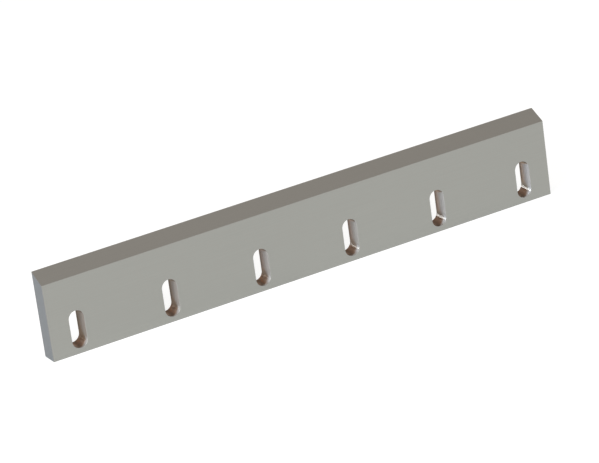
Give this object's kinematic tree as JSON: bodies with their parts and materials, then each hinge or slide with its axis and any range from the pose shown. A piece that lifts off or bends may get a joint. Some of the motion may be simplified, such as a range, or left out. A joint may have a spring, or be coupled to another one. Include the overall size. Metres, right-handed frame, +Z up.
{
  "type": "stator knife",
  "caption": "Flat steel knife bar with a bevelled cutting edge along its top and a row of upright obround bolt slots near its foot.",
  "frame": {"origin": "middle of the lower edge face, on which the knife stands", "axes": "+X along the knife, +Y from the front face to the back face that lies on the seat, +Z up to the cutting edge"},
  "size_m": [0.6, 0.02, 0.094],
  "materials": {
    "tool_steel": "fine ground, bare"
  },
  "bodies": {
    "root": {"stator_knife": "tool_steel"}
  },
  "joints": []
}
